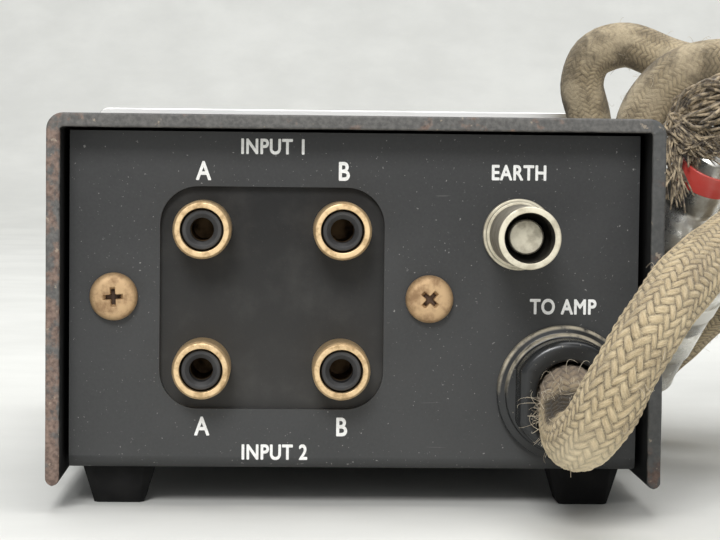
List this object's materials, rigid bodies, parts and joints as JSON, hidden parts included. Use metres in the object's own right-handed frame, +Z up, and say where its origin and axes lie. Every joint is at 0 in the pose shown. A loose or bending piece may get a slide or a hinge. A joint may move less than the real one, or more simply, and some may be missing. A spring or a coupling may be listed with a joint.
{
  "type": "moving coil step-up transformer",
  "caption": "Small audio step-up transformer box: folded steel cover and chassis, phono jacks, ground post, captive braided output cord, front selector knobs and screened transformers.",
  "frame": {"origin": "centre of the footprint on the floor, without the cord", "axes": "+X to the right seen from the jack side, -Y out of the jack side, +Y out of the knob side, +Z up"},
  "size_m": [0.1413, 0.1744, 0.0777],
  "materials": {
    "cover_paint": "satin",
    "chassis_paint": "matte",
    "panel_aluminium": "satin",
    "black_steel": "satin",
    "zinc_steel": "satin",
    "foot_rubber": "matte",
    "board_black": "matte",
    "jack_brass": "polished",
    "black_plastic": "gloss",
    "tinned_tag": "satin",
    "screw_brass": "dull",
    "post_nickel": "satin",
    "cotton_braid": "matte",
    "tie_string": "matte",
    "split_black": "matte",
    "lead_grey": "satin",
    "plug_metal": "polished",
    "switch_steel": "satin",
    "wafer_brown": "satin",
    "shaft_steel": "satin",
    "rotor_cream": "satin",
    "knob_aluminium": "satin",
    "grub_steel": "satin",
    "can_metal": "satin",
    "core_metal": "satin",
    "winding_copper": "satin"
  },
  "bodies": {
    "case": {"cover": "cover_paint", "chassis": "chassis_paint", "front_panel": "panel_aluminium", "cover_screws": "black_steel", "front_panel_screws": "zinc_steel", "foot_rear_left": "foot_rubber", "foot_rear_right": "foot_rubber", "foot_front_left": "foot_rubber", "foot_front_right": "foot_rubber", "foot_screws": "zinc_steel", "jack_board": "board_black", "jack_shell_1_left": "jack_brass", "jack_shell_1_right": "jack_brass", "jack_shell_2_left": "jack_brass", "jack_shell_2_right": "jack_brass", "jack_insulators": "black_plastic", "jack_contacts": "jack_brass", "jack_ground_tags": "tinned_tag", "jack_nuts": "jack_brass", "board_screws": "screw_brass", "board_nuts": "zinc_steel", "ground_stud": "post_nickel", "ground_collar": "post_nickel", "ground_nut": "post_nickel", "ground_lug": "tinned_tag", "cord_bush": "black_plastic", "bush_ring_nut": "black_plastic", "output_cord": "cotton_braid", "cord_coil": "cotton_braid", "coil_tie": "tie_string", "cord_splitter": "split_black", "left_lead": "lead_grey", "right_lead": "lead_grey", "left_plug_shell": "plug_metal", "left_plug_pin": "plug_metal", "right_plug_shell": "plug_metal", "right_plug_pin": "plug_metal", "input_switch_cup": "switch_steel", "input_switch_wafer": "wafer_brown", "load_switch_cup": "switch_steel", "load_switch_wafer": "wafer_brown", "switch_nuts": "zinc_steel", "switch_tie_posts": "zinc_steel", "left_can": "can_metal", "right_can": "can_metal", "left_core": "core_metal", "right_core": "core_metal", "left_winding": "winding_copper", "right_winding": "winding_copper", "can_screws": "zinc_steel"},
    "input_selector": {"input_shaft": "shaft_steel", "input_rotor": "rotor_cream", "input_knob": "knob_aluminium", "input_knob_grub": "grub_steel"},
    "load_selector": {"load_shaft": "shaft_steel", "load_rotor": "rotor_cream", "load_knob": "knob_aluminium", "load_knob_grub": "grub_steel"},
    "clamp_washer": {"ground_washer": "post_nickel"},
    "thumb_cap": {"ground_cap": "post_nickel"}
  },
  "joints": [
    {"name": "input_selector_turn", "type": "hinge", "parent": "case", "child": "input_selector", "pos_m": [-0.02, 0.061, 0.0314], "axis": [0, 1, 0], "range_deg": [-30, 30]},
    {"name": "load_selector_turn", "type": "hinge", "parent": "case", "child": "load_selector", "pos_m": [0.02, 0.061, 0.0314], "axis": [0, 1, 0], "range_deg": [-60, 60]},
    {"name": "ground_cap_lift", "type": "slide", "parent": "case", "child": "clamp_washer", "axis": [0, -1, 0], "range_m": [0, 0.0028]},
    {"name": "ground_cap_turn", "type": "hinge", "parent": "clamp_washer", "child": "thumb_cap", "pos_m": [0.0236, -0.068, 0.0402], "axis": [0, -1, 0], "range_deg": [0, 1260]}
  ],
  "couplings": [
    {"joint": "ground_cap_turn", "follows": "ground_cap_lift", "rad_per_m": 7853.9}
  ]
}
